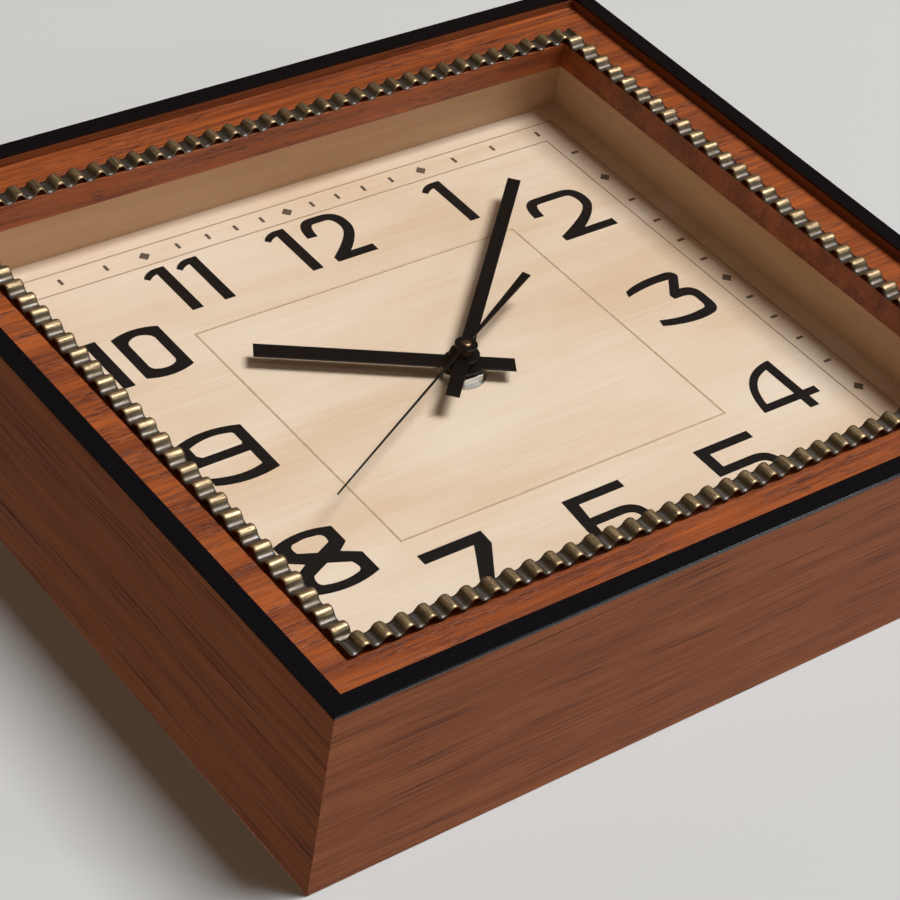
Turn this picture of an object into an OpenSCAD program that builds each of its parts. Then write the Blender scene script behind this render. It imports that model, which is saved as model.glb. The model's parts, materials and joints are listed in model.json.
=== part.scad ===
// Wooden desk clock: a veneered case with black edging, a recessed front panel,
// a corrugated brass ribbon round the window, a pale wooden dial and a quartz movement.
// The clock stands on Z = 0 and faces -Y. X = 0 and Y = 0 are the middle of its base.

/* [Case] */
// Width of the case
case_w = 250; // [246:1:256]
// Height of the case
case_h = 224; // [220:1:230]
// Depth of the case, edging to back edge
case_d = 58.6; // [58:0.2:64]
// Thickness of each side board
board_t = 5.5; // [5:0.1:6]
// Thickness of the black edging
edging_t = 0.8; // [0.6:0.1:1.2]
// Width of the bevel on the edging's outer arris
edging_bevel = 0.4; // [0.2:0.1:0.5]

/* [Front] */
// Depth of the front panel below the edging
panel_recess = 3.5; // [3:0.1:4]
// Thickness of the front panel
panel_t = 8; // [7:0.5:8]
// Width of the window opening
window_w = 207.6; // [206:0.2:208]
// Height of the window opening
window_h = 180.6; // [180:0.2:182]
// Thickness of the glass
glass_t = 2; // [1.5:0.5:2]
// Distance of each liner strip behind the edge of the window
liner_set_back = 4.3; // [3.5:0.1:5]

/* [Brass ribbon] */
// Length of one wave
wave_pitch = 6.3; // [6:0.1:6.6]
// Height from trough to crest
wave_height = 2.4; // [2:0.1:2.6]
// Thickness of the sheet
ribbon_t = 0.4; // [0.3:0.05:0.5]
// Width of the ribbon
ribbon_w = 5.1; // [4.5:0.1:5.5]

/* [Dial] */
// Depth of the dial's face below the edging
dial_depth = 29.1; // [29:0.1:30]
// Thickness of the dial board
dial_t = 4; // [3:0.5:4]
// Half width of the rectangle that the minute marks lie on
track_x = 97.25; // [96:0.25:98]
// Half height of the rectangle that the minute marks lie on
track_y = 83.55; // [83:0.05:84]
// Half width of the thin centre rectangle
centre_x = 55.1; // [50:0.1:58]
// Half height of the thin centre rectangle
centre_y = 47.6; // [44:0.1:50]

/* [Hands] */
// Angle of the hour hand, clockwise from twelve
hour_angle = 302.3; // [0:0.1:359.9]
// Angle of the minute hand, clockwise from twelve
minute_angle = 46.9; // [0:0.1:359.9]
// Angle of the second hand, clockwise from twelve
second_angle = 242.9; // [0:0.1:359.9]
// Length of the hour hand from the centre to its tip
hour_len = 56.8; // [50:0.1:60]
// Length of the minute hand from the centre to its tip
minute_len = 87.3; // [80:0.1:90]
// Length of the second hand from the centre to its tip
second_len = 74.7; // [70:0.1:85]
// Width of the hour hand
hour_w = 5.3; // [4:0.1:5.5]
// Width of the minute hand
minute_w = 3.9; // [3.4:0.1:5]

/* [Movement] */
// Width and height of the movement
move_w = 56; // [56:0.5:58]
// Depth of the movement
move_d = 16; // [16:0.1:16.2]
// Diameter of the battery
battery_dia = 14.2; // [13.8:0.1:14.2]
// Length of the battery over its terminal
battery_len = 50.2; // [49.6:0.1:50.4]

/* [Hidden] */

// Roundness of small and large turned surfaces
$fn = 48;

// Heights and depths in the standing frame
dial_z = case_h / 2;
front_y = -case_d / 2;
back_y = case_d / 2;
panel_y = front_y + panel_recess;
glass_y = panel_y + panel_t;
liner_y = glass_y + glass_t;
dial_y = front_y + dial_depth;
dial_back_y = dial_y + dial_t;
inner_w = case_w - 2 * board_t;
inner_h = case_h - 2 * board_t;
fit_gap = 0.2;

// Liner frame, inner faces
liner_x = window_w / 2 + liner_set_back;
liner_z = window_h / 2 + liner_set_back;

// Printed ink on the dial
ink_t = 0.12;
track_band = 4.3;
track_line = 0.35;
centre_line = 0.5;
mark_size = 3.6;
tick_len = 2.4;
tick_w = 0.9;

// Hands: thickness, height of each above the dial, and tails
hand_t = 0.5;
hour_up = 3.8;
minute_up = 6.8;
second_up = 9.9;
hour_tail = 14.4;
minute_tail = 19.3;
second_tail = 39.2;
needle_w = 0.7;
counter_w = 2.6;
hour_boss_r = 5.6;
minute_boss_r = 4.2;
second_boss_r = 3.2;

// Back of the case
block_w = 16;
back_t = 3;
back_inset = 3.7;
back_board_y = back_y - back_inset - back_t;
access_w = 68;
access_h = 68;
screw_r = 1.5;
screw_head_r = 3;
screw_len = 12;

// Movement, measured from its front face backwards
gasket_t = 0.5;
move_y = dial_back_y + gasket_t;
wall_t = 1.4;
cover_t = 1.4;
shaft_gap = 0.05;
bush_r = 4;
bush_hole_r = 2.75;
flange_r = 5.5;
flange_t = 0.3;
washer_t = 0.5;
washer_r = 7;
nut_t = 2;
nut_af = 11;
bush_front = 2.9;

// Layers of the train behind the movement's front wall
hour_wheel_y = move_y + wall_t + 0.5;
motion_y = hour_wheel_y + 1.3;
centre_wheel_y = motion_y + 1.6;
third_y = centre_wheel_y + 1.3;
bridge_y = third_y + 1.3;
bridge_t = 0.7;
seconds_y = bridge_y + bridge_t + 0.4;
fifth_y = seconds_y + 1.2;
wheel_t = 0.8;
arbor_r = 0.5;
cover_y = move_y + move_d - cover_t;

// Teeth and modules of the going train and of the motion work
module_a = 0.5;
module_b = 0.3;
pinion_n = 8;
cannon_n = 10;
motion_n = 30;
hour_n = 32;
knob_n = 12;
centre_n = 60;
third_n = 64;
seconds_n = 40;
fifth_n = 48;
third_dist = module_b * (pinion_n + centre_n) / 2;
module_c = 2 * third_dist / (pinion_n + third_n);
motion_dist = module_a * (cannon_n + motion_n) / 2;
knob_dist = module_a * (knob_n + motion_n) / 2;
fifth_dist = module_b * (pinion_n + seconds_n) / 2;
module_d = 0.25;
rotor_dist = module_d * (pinion_n + fifth_n) / 2;

// Directions of the axes as seen from the front, counted from +X towards +Z
motion_dir = 180;
knob_dir = 180;
third_dir = 8;
fifth_dir = 100;
rotor_dir = 100;

function polar(r, a) = [r * cos(a), r * sin(a)];
motion_at = polar(motion_dist, motion_dir);
knob_at = motion_at + polar(knob_dist, knob_dir);
third_at = polar(third_dist, third_dir);
fifth_at = polar(fifth_dist, fifth_dir);
rotor_at = fifth_at + polar(rotor_dist, rotor_dir);

// Turn of a gear with nb teeth that puts it in mesh with one of na teeth turned by a,
// where dir points from the first axis to the second
function mesh(a, na, nb, dir) = dir + 180 - ((a - dir) * na + 180) / nb;

cannon_turn = motion_dir;
motion_turn = mesh(cannon_turn, cannon_n, motion_n, motion_dir);
hour_turn = mesh(0, pinion_n, hour_n, motion_dir + 180);
knob_turn = mesh(motion_turn, motion_n, knob_n, knob_dir);
seconds_pinion_turn = 0;
third_turn = mesh(seconds_pinion_turn, pinion_n, third_n, third_dir);
third_pinion_turn = third_dir + 180;
centre_turn = mesh(third_pinion_turn, pinion_n, centre_n, third_dir + 180);
seconds_turn = fifth_dir;
fifth_pinion_turn = mesh(seconds_turn, seconds_n, pinion_n, fifth_dir);
fifth_turn = rotor_dir;
rotor_pinion_turn = mesh(fifth_turn, fifth_n, pinion_n, rotor_dir);

// Battery bay in the lower part of the movement
battery_r = battery_dia / 2;
bay_z = -move_w / 2 + wall_t + 0.4 + battery_r;
battery_y = move_y + wall_t + battery_r + fit_gap;
bay_top = bay_z + battery_r + 0.5;
terminal_len = 1.4;
terminal_r = 2.7;

// Placing helpers: flat shapes are drawn as seen from the front, x right and y up,
// with their middle at the middle of the dial, and pushed back along +Y
module on_dial(y) translate([0, y, dial_z]) rotate([90, 0, 0]) mirror([0, 0, 1]) children();
module slab(y, t) on_dial(y) linear_extrude(t) children();
module frame_slab(y, t, w, h, hole_w, hole_h) slab(y, t) difference() {
    square([w, h], center = true);
    square([hole_w, hole_h], center = true);
}

// Mitred strip along one side of a w by h rectangle, drawn along its bottom side
module mitred_outline(w, h, t) polygon([[-w / 2, -h / 2], [w / 2, -h / 2],
    [w / 2 - t, -h / 2 + t], [-w / 2 + t, -h / 2 + t]]);

// ---- Case ----

module side_board(w, h, turn) color([0.45, 0.25, 0.16])
    slab(front_y + edging_t, case_d - edging_t) rotate(turn) mitred_outline(w, h, board_t);
module left_side_board() side_board(case_h, case_w, -90);
module right_side_board() side_board(case_h, case_w, 90);
module bottom_board() side_board(case_w, case_h, 0);
module top_board() side_board(case_w, case_h, 180);

// One edging strip: a flat bar with a bevel, cut to its mitres
module edging(w, h, turn) color([0.06, 0.065, 0.075]) intersection() {
    slab(front_y, edging_t) rotate(turn) mitred_outline(w, h, board_t);
    on_dial(front_y) rotate([0, 0, turn]) translate([w / 2, -h / 2, 0]) rotate([0, -90, 0])
        linear_extrude(w) polygon([[0, edging_bevel], [edging_bevel, 0], [edging_t, 0],
            [edging_t, board_t], [0, board_t]]);
}
module left_edging() edging(case_h, case_w, -90);
module right_edging() edging(case_h, case_w, 90);
module bottom_edging() edging(case_w, case_h, 0);
module top_edging() edging(case_w, case_h, 180);

module front_panel() color([0.6, 0.3, 0.14])
    frame_slab(panel_y, panel_t, inner_w, inner_h, window_w, window_h);

// Ribbon: a sine wave between two side lines, cut off square at both ends
function wave(s, phase) = wave_height - ribbon_t
    + ((wave_height - ribbon_t) * (cos(360 * (s - phase) / wave_pitch) - 1)) / 2;
wave_points = 12;
module ribbon(from, to, phase) {
    n = round((to - from) / wave_pitch * wave_points);
    step = (to - from) / n;
    upper = [for (i = [0:n]) [from + i * step, wave(from + i * step, phase) + ribbon_t]];
    lower = [for (i = [n:-1:0]) [from + i * step, wave(from + i * step, phase)]];
    rotate([90, 0, 0]) linear_extrude(ribbon_w) polygon(concat(upper, lower));
}
// The lower and upper ribbons run the full width, with a trough in the middle;
// the side ribbons stand between them and start with a trough at the bottom
module placed_ribbon(edge, turn, from, to, phase) color([0.6, 0.5, 0.32])
    translate([0, panel_y, dial_z]) rotate([90, 0, 0]) rotate([0, 0, turn])
        translate([0, -edge, 0]) ribbon(from, to, phase);
ribbon_out_x = window_w / 2 + ribbon_w;
side_phase = -window_h / 2 + wave_pitch / 2;
module bottom_brass_ribbon()
    placed_ribbon(window_h / 2, 0, -ribbon_out_x, ribbon_out_x, wave_pitch / 2);
module top_brass_ribbon()
    placed_ribbon(window_h / 2, 180, -ribbon_out_x, ribbon_out_x, wave_pitch / 2);
module right_brass_ribbon()
    placed_ribbon(window_w / 2, 90, -window_h / 2, window_h / 2, side_phase);
module left_brass_ribbon()
    placed_ribbon(window_w / 2, -90, -window_h / 2, window_h / 2, -side_phase);

module window_glass() color([0.85, 0.92, 0.92, 0.35])
    slab(glass_y, glass_t) square([inner_w - 2, inner_h - 2], center = true);

// Liner: two long strips top and bottom, two shorter ones between them
module liner(w, h, x, y) color([0.8, 0.62, 0.45])
    slab(liner_y, dial_y - liner_y) translate([x, y]) square([w, h], center = true);
liner_t_x = inner_w / 2 - liner_x - fit_gap;
liner_t_z = inner_h / 2 - liner_z - fit_gap;
module left_liner() liner(liner_t_x, 2 * liner_z, -liner_x - liner_t_x / 2, 0);
module right_liner() liner(liner_t_x, 2 * liner_z, liner_x + liner_t_x / 2, 0);
module top_liner() liner(inner_w - 2 * fit_gap, liner_t_z, 0, liner_z + liner_t_z / 2);
module bottom_liner() liner(inner_w - 2 * fit_gap, liner_t_z, 0, -liner_z - liner_t_z / 2);

// ---- Dial ----

module dial_board() color([0.88, 0.77, 0.63]) difference() {
    slab(dial_y, dial_t) square([inner_w - 2 * fit_gap, inner_h - 2 * fit_gap], center = true);
    on_dial(dial_y - 1) cylinder(r = bush_r + fit_gap, h = dial_t + 2);
}

// Points along a bend from a to c that leans towards b
function bend(a, b, c, n = 8) = [for (i = [0:n]) let (t = i / n)
    a * (1 - t) * (1 - t) + b * 2 * t * (1 - t) + c * t * t];

// A rectangle between two corners
module box(x0, y0, x1, y1) translate([x0, y0]) square([x1 - x0, y1 - y0]);

// Width of level strokes and of upright strokes
bar = 2.9;
stem = 3.3;

// Each numeral is one outline drawn from its own base line upwards
module one() polygon(concat([[-1.75, 0], [1.75, 0], [1.75, 20.6]],
    bend([-1.6, 20.6], [-4.6, 20.2], [-6.3, 17.8]), bend([-5, 16.5], [-3.6, 17.9], [-1.75, 18.2])));
module two(w) polygon(concat([[1.2, 0], [w, 0], [w, bar]],
    bend([w * 0.5, bar], [w, 9.4], [w, 14.2]), bend([w, 15], [w, 21], [w - 6.5, 21]),
    bend([5, 21], [-0.2, 21], [-0.5, 13]), bend([2.8, 12.8], [3.1, 18.2], [5.2, 18.2]),
    bend([w - 6, 18.2], [w - 3.2, 18.2], [w - 3.3, 13.8]), bend([w - 3.6, 12.4], [w - 5, 8.8], [1.2, 2.3])));
module three() polygon(concat([[-0.1, 15.9]], bend([0.8, 18.3], [6, 20.4], [13.5, 20.4]),
    bend([16.4, 20.4], [20, 20.2], [19.7, 17.4]), bend([16, 12.4], [20.9, 12.2], [21, 7.5]),
    bend([21, 3.4], [21, -0.6], [17, -1.1]), bend([15, -1.4], [8, -2], [0.1, 0.9]),
    bend([0.8, 3.4], [8, 1], [15.6, 2]), bend([16.2, 2.1], [17.8, 2.3], [17.8, 4.5]),
    bend([17.8, 7], [17.8, 9.2], [14.4, 9.2]), [[11.6, 9.2], [11.4, 11.2], [16, 17.3]],
    bend([12, 17.5], [6, 17.3], [0.4, 16])));
module four() difference() {
    polygon(concat(bend([0, 4.5], [2.2, 20.2], [15.4, 21.8], 12), [[16.6, 21.8], [16.6, 7.2],
        [20.8, 7.2], [20.8, 4.5], [16.6, 4.5], [16.6, 0.3], [13.4, 0.3], [13.4, 4.5]]));
    polygon(concat(bend([3.1, 7.2], [5, 17], [13.4, 18.9], 12), [[13.4, 7.2]]));
}
module five() polygon(concat([[0, 21], [19.3, 21], [19.3, 18.1], [3.6, 18.1], [3.6, 12.5]],
    bend([13.4, 12.5], [20.1, 12.5], [20.2, 6.4]), bend([20.2, 5.6], [20.2, 0], [13.6, 0]),
    [[-0.2, 0], [-0.2, bar]], bend([13.2, bar], [17.2, bar], [17.2, 5.6]),
    bend([17.2, 6.4], [17.2, 9.6], [13, 9.6]), [[0, 9.6]]));
module six() difference() {
    polygon(concat([[1.4, 21], [20.4, 21], [20.4, 18.1], [4.9, 18.1], [4.1, 12.5]],
        bend([13, 12.5], [19.8, 12.5], [20, 6.6]), bend([20, 5.8], [20, 0], [14.4, 0]),
        bend([6, 0], [0.4, 0], [0.3, 5.4]), [[0.3, 9]]));
    polygon(concat([[3.8, 9.6]], bend([13, 9.6], [17, 9.6], [17, 6.4]),
        bend([17, 5.8], [17, bar], [14, bar]), bend([6, bar], [3.4, bar], [3.4, 5.6])));
}
module seven() polygon([[0, 21], [0, 17.5], [15.4, 17.5], [14.6, 16], [5, 0], [9.2, 0],
    [19.9, 15.9], [20.2, 21]]);
module eight() difference() {
    polygon(concat([[0.2, 9.4], [5, 12.2], [1.2, 14.6]],
        bend([1.2, 21], [10, 24.3], [19, 21]), [[19, 14.6], [15.6, 12.2], [20.4, 9.4]],
        bend([20.4, 2], [10, -1.6], [0.2, 2])));
    polygon(concat([[10.2, 14.3]], bend([5.4, 16.4], [4.6, 19.2], [6.4, 19.8], 4),
        bend([8, 20], [10.2, 20.5], [12.4, 20], 4), bend([14, 19.8], [16, 19.2], [15, 16.4], 4)));
    polygon(concat([[10.2, 10.2]], bend([16, 7.6], [17.4, 4.6], [15.6, 3.8], 4),
        bend([13, 3.2], [10.2, 2.8], [7.4, 3.2], 4), bend([4.8, 3.8], [3, 4.6], [4.4, 7.6], 4)));
}
module nine() difference() {
    polygon(concat([[1.2, 9.6], [0.2, 12]], bend([0.2, 19.3], [10, 23.2], [20.7, 19.5]),
        bend([20.7, 0.9], [10, -1.6], [1.4, 1.9]), bend([1.9, 4.8], [10, 1.6], [17.3, 3.9]),
        [[17.3, 9.6]]));
    polygon(concat([[4.6, 12.6], [3.5, 13.8]], bend([3.5, 17.2], [10.4, 20], [16.9, 17.8]),
        [[17.3, 17.2], [17.3, 13.4], [16.6, 12.6]]));
}
module zero(w) difference() {
    polygon(concat(bend([0, 1.5], [w / 2, -1.5], [w, 1.5]), bend([w, 19.5], [w / 2, 22.5], [0, 19.5])));
    polygon(concat(bend([stem + 0.6, 4.2], [w / 2, 2.2], [w - stem - 0.6, 4.2]),
        [[w - stem, 5.4], [w - stem, 15.6]],
        bend([w - stem - 0.6, 16.8], [w / 2, 19.6], [stem + 0.6, 16.8]),
        [[stem, 15.6], [stem, 5.4]]));
}

// Where each numeral's lower left corner stands; a one is placed by its stem
module hour_numerals() color([0.1, 0.09, 0.085]) slab(dial_y - ink_t, ink_t) {
    translate([48, 56.2]) one();
    translate([64.7, 35.6]) two(20.7);
    translate([64.8, -10.2]) three();
    translate([64.9, -57.2]) four();
    translate([35.6, -77]) five();
    translate([-10.4, -76.1]) six();
    translate([-54.8, -74.8]) seven();
    translate([-86.3, -55.2]) eight();
    translate([-86.1, -9.6]) nine();
    translate([-82.6, 36.1]) one();
    translate([-76.8, 35.6]) zero(14.8);
    translate([-47.8, 56.7]) one();
    translate([-37.2, 56.7]) one();
    translate([-7.6, 56.7]) one();
    translate([-1.6, 57]) two(15);
}

// Minute marks stand where a ray at a true minute angle meets the track rectangle
function ray(a) = let (s = sin(a), c = cos(a),
    k = min(track_x / max(abs(s), 0.001), track_y / max(abs(c), 0.001))) [s * k, c * k];
function upright(a) = track_x * abs(cos(a)) > track_y * abs(sin(a));
module track_frame(grow) difference() {
    square(2 * [track_x + grow, track_y + grow], center = true);
    square(2 * [track_x + grow - track_line, track_y + grow - track_line], center = true);
}
module minute_track() color([0.4, 0.35, 0.3]) slab(dial_y - ink_t, ink_t) {
    track_frame(track_band);
    track_frame(track_line - track_band);
    for (m = [0:59]) translate(ray(6 * m))
        if (m % 5 == 0) rotate(45) square(mark_size / sqrt(2), center = true);
        else square(upright(6 * m) ? [tick_w, tick_len] : [tick_len, tick_w], center = true);
}

module centre_rectangle() color([0.55, 0.48, 0.4])
    frame_slab(dial_y - ink_t, ink_t, 2 * centre_x, 2 * centre_y,
        2 * (centre_x - centre_line), 2 * (centre_y - centre_line));

// ---- Back of the case ----

block_x = inner_w / 2 - block_w / 2 - fit_gap;
block_z = inner_h / 2 - block_w / 2 - fit_gap;
module at_corners() for (sx = [-1, 1], sz = [-1, 1])
    translate([sx * block_x, 0, dial_z + sz * block_z]) children();

module corner_blocks() color([0.8, 0.66, 0.46]) at_corners() difference() {
    translate([-block_w / 2, dial_back_y, -block_w / 2])
        cube([block_w, back_board_y - dial_back_y, block_w]);
    translate([0, back_board_y - screw_len + back_t - 1, 0]) rotate([-90, 0, 0])
        cylinder(r = screw_r, h = screw_len + 2);
}

module back_board() color([0.62, 0.45, 0.28]) difference() {
    frame_slab(back_board_y, back_t, inner_w - 2 * fit_gap, inner_h - 2 * fit_gap,
        access_w, access_h);
    at_corners() translate([0, back_board_y - 1, 0]) rotate([-90, 0, 0])
        cylinder(r = screw_r + 0.2, h = back_t + 2);
}

// Pan head wood screws with a cross slot
module back_screws() color([0.75, 0.72, 0.68]) at_corners() difference() {
    union() {
        translate([0, back_board_y + back_t - screw_len, 0]) rotate([-90, 0, 0])
            cylinder(r = screw_r, h = screw_len);
        translate([0, back_board_y + back_t, 0]) rotate([-90, 0, 0]) rotate_extrude()
            polygon([[0, 0], [screw_head_r, 0], [screw_head_r, 0.8], [2.2, 1.6], [0, 1.8]]);
    }
    for (a = [0, 90]) rotate([0, a, 0])
        translate([-1.7, back_board_y + back_t + 1, -0.3]) cube([3.4, 2, 0.6]);
}

// ---- Movement ----

module tube(y, outer, inner, len) on_dial(y) difference() {
    cylinder(r = outer, h = len);
    translate([0, 0, -1]) cylinder(r = inner, h = len + 2);
}

// Front wall and side walls of the movement, open at the back; a wall parts off the battery bay
module movement_case() color([0.13, 0.13, 0.14]) difference() {
    union() {
        slab(move_y, move_d - cover_t) difference() {
            square(move_w, center = true);
            square(move_w - 2 * wall_t, center = true);
        }
        slab(move_y, wall_t) square(move_w, center = true);
        slab(move_y, move_d - cover_t) translate([0, bay_top + wall_t / 2])
            square([move_w - wall_t, wall_t], center = true);
        rod(motion_at, move_y + wall_t, motion_y + wheel_t + 0.4, post_r);
        for (p = pillars) rod(p, move_y + wall_t, bridge_y, pillar_r);
    }
    on_dial(move_y - 1) cylinder(r = bush_r + fit_gap, h = wall_t + 2);
    on_dial(move_y + wall_t - 0.4) translate([third_at[0], third_at[1], 0])
        cylinder(r = arbor_r + shaft_gap, h = 1);
}
// A post on the front wall carries the motion wheel, and pillars carry the bridge
post_r = 0.7;
pillar_r = 1.4;
pillars = [[-12.5, 24], [20, 24], [20, -8.2]];

// Cover: closes the train, leaves the battery bay open, holds the rear pivots
module movement_cover() color([0.16, 0.16, 0.17]) difference() {
    slab(cover_y, cover_t) translate([-move_w / 2, bay_top]) square([move_w, move_w / 2 - bay_top]);
    on_dial(cover_y - 1) {
        translate([knob_at[0], knob_at[1], 0]) cylinder(r = 2 + shaft_gap, h = cover_t + 2);
        for (p = [[0, 0], fifth_at, rotor_at]) translate([p[0], p[1], 0])
            cylinder(r = arbor_r + shaft_gap, h = 1.6);
    }
}

module rubber_gasket() color([0.09, 0.09, 0.09]) slab(dial_back_y, gasket_t) difference() {
    circle(r = 12);
    circle(r = bush_r + fit_gap);
}

// Threaded bush with a flange inside the case; the thread is left plain
module centre_bush() color([0.8, 0.65, 0.35]) {
    tube(dial_y - bush_front, bush_r, bush_hole_r, move_y + wall_t - dial_y + bush_front);
    tube(move_y + wall_t, flange_r, bush_hole_r, flange_t);
}
module centre_washer() color([0.8, 0.78, 0.72])
    tube(dial_y - washer_t, washer_r, bush_r + 0.05, washer_t);
module centre_nut() color([0.85, 0.83, 0.78]) on_dial(dial_y - washer_t - nut_t) difference() {
    cylinder(d = nut_af / cos(30), h = nut_t, $fn = 6);
    translate([0, 0, -1]) cylinder(r = bush_r + 0.05, h = nut_t + 2);
}

// Wheel outline: tapered teeth with rounded shoulders on a rim
function tooth(m, n, a, half) = let (r = m * n / 2) [
    polar(r - 1.25 * m, a - half * 1.25), polar(r, a - half),
    polar(r + 0.5 * m, a - half * 0.66), polar(r + 0.85 * m, a - half * 0.2),
    polar(r + 0.85 * m, a + half * 0.2), polar(r + 0.5 * m, a + half * 0.66),
    polar(r, a + half), polar(r - 1.25 * m, a + half * 1.25)];
module wheel(m, n) polygon([for (i = [0:n - 1]) each tooth(m, n, i * 360 / n, 0.4 * 180 / n)]);
// Pinion outline: thin leaves with straight flanks and round tips
function leaf(m, n, a, half) = let (r = m * n / 2) [
    polar(r - 1.25 * m, a - half * 1.1), polar(r, a - half), polar(r + 0.45 * m, a - half * 0.6),
    polar(r + 0.6 * m, a), polar(r + 0.45 * m, a + half * 0.6), polar(r, a + half),
    polar(r - 1.25 * m, a + half * 1.1)];
module pinion(m, n) polygon([for (i = [0:n - 1]) each leaf(m, n, i * 360 / n, 0.34 * 180 / n)]);

// A toothed disc between two depths, with a round hole or none
module disc(at, y, t, turn, hole = 0) on_dial(y) translate([at[0], at[1], 0]) linear_extrude(t)
    difference() {
        rotate(turn) children();
        if (hole > 0) circle(r = hole);
    }
module rod(at, y0, y1, r) on_dial(y0) translate([at[0], at[1], 0]) cylinder(r = r, h = y1 - y0);

spoke_hole_r = 1.9;
module pierced(m, n, holes, ring) difference() {
    wheel(m, n);
    for (a = [1:holes]) rotate(a * 360 / holes) translate([ring, 0]) circle(r = spoke_hole_r);
}

// Bridge: a plate between the slow wheels in front and the fast wheels behind
bridge_x = [-14, 22];
bridge_z = [bay_top + wall_t + fit_gap, move_w / 2 - wall_t];
stator_legs = [for (s = [-1, 1]) [rotor_at[0] + s * 8.8, 17.5]];
module train_bridge() color([0.85, 0.83, 0.78]) difference() {
    union() {
        slab(bridge_y, bridge_t) box(bridge_x[0], bridge_z[0], bridge_x[1], bridge_z[1]);
        for (p = stator_legs) rod(p, bridge_y + bridge_t / 2, stator_y, 0.9);
    }
    on_dial(bridge_y - 1) for (p = [[0, 0], third_at, fifth_at, rotor_at])
        translate([p[0], p[1], 0]) cylinder(r = arbor_r + shaft_gap, h = bridge_t + 2);
}

// Circuit board with a chip
board_at = [10.5, 12];
module circuit_board() color([0.1, 0.35, 0.2]) slab(bridge_y + bridge_t, 0.8)
    translate(board_at) square([14, 14]);
module quartz_crystal() color([0.8, 0.8, 0.82])
    translate([board_at[0] + 3, bridge_y + bridge_t + 0.8 + 1.1, dial_z + board_at[1] + 2])
        cylinder(r = 1.1, h = 7);

// Coil wound on its core, and the stator plate whose two legs reach it
coil_z = 22.4;
coil_r = 3.2;
coil_len = 14;
stator_y = fifth_y + wheel_t + 0.4;
stator_t = 0.8;
magnet_r = 2.2;
coil_y = stator_y + stator_t / 2;
module coil() color([0.6, 0.3, 0.12]) translate([rotor_at[0], coil_y, dial_z + coil_z])
    rotate([0, 90, 0]) difference() {
        union() {
            cylinder(r = coil_r - 0.6, h = coil_len, center = true);
            for (s = [-1, 1]) translate([0, 0, s * (coil_len / 2 - 0.4)])
                cylinder(r = coil_r - 0.1, h = 0.8, center = true);
        }
        cube([2.4, 1, coil_len + 2], center = true);
    }
module stator() color([0.7, 0.7, 0.7]) slab(stator_y, stator_t) translate([rotor_at[0], 0])
    difference() {
        union() {
            translate([0, rotor_at[1]]) square([20, 7.4], center = true);
            for (s = [-1, 1]) translate([s * (coil_len / 2 + 1.8), (rotor_at[1] + coil_z) / 2])
                square([2.4, coil_z - rotor_at[1] + 2.4], center = true);
            translate([0, coil_z]) square([coil_len + 5, 2.2], center = true);
        }
        translate([0, rotor_at[1]]) circle(r = magnet_r + 0.4);
    }

// Rotor: pinion, round magnet and thin arbor
module rotor() color([0.35, 0.35, 0.38]) {
    disc(rotor_at, fifth_y - 0.2, wheel_t + 0.4, rotor_pinion_turn) pinion(module_d, pinion_n);
    rod(rotor_at, fifth_y + wheel_t + 0.2, stator_y + stator_t + 0.3, magnet_r);
    rod(rotor_at, bridge_y + 0.1, cover_y + 0.5, arbor_r);
}
module fifth_wheel() color([0.95, 0.93, 0.85]) {
    disc(fifth_at, fifth_y, wheel_t, fifth_turn) pierced(module_d, fifth_n, 4, 3.6);
    disc(fifth_at, seconds_y - 0.1, fifth_y - seconds_y + 0.1, fifth_pinion_turn)
        pinion(module_b, pinion_n);
    rod(fifth_at, bridge_y + 0.1, cover_y + 0.5, arbor_r);
}

// Seconds wheel: wheel behind the bridge, pinion in front of it, long arbor to the hand
second_pin_r = 0.6;
module seconds_wheel() color([0.95, 0.93, 0.85]) {
    disc([0, 0], seconds_y, wheel_t, seconds_turn) wheel(module_b, seconds_n);
    disc([0, 0], third_y - 0.1, bridge_y - third_y - 0.2, seconds_pinion_turn)
        pinion(module_c, pinion_n);
    rod([0, 0], dial_y - second_up - hand_t - 0.2, cover_y + 0.5, arbor_r);
}
module third_wheel() color([0.95, 0.93, 0.85]) {
    disc(third_at, third_y, wheel_t, third_turn) pierced(module_c, third_n, 5, 5.6);
    disc(third_at, centre_wheel_y - 0.1, third_y - centre_wheel_y + 0.1, third_pinion_turn)
        pinion(module_b, pinion_n);
    rod(third_at, move_y + wall_t - 0.3, bridge_y + bridge_t - 0.1, arbor_r);
}

// Centre wheel turns on the minute pipe with a light slip
pipe_r = 1.6;
module centre_wheel() color([0.95, 0.93, 0.85])
    disc([0, 0], centre_wheel_y, wheel_t, centre_turn, pipe_r + shaft_gap)
        pierced(module_b, centre_n, 5, 5.4);

// Minute pipe: the hollow shaft that carries the minute hand, with its cannon pinion
pipe_hole_r = arbor_r + shaft_gap;
pipe_back = centre_wheel_y + wheel_t + 0.2;
module minute_pipe() color([0.8, 0.7, 0.45]) {
    tube(dial_y - minute_up - hand_t - 0.4, pipe_r, pipe_hole_r,
        pipe_back - dial_y + minute_up + hand_t + 0.4);
    disc([0, 0], motion_y - 0.1, centre_wheel_y - motion_y, cannon_turn, pipe_hole_r)
        pinion(module_a, cannon_n);
}

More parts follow.
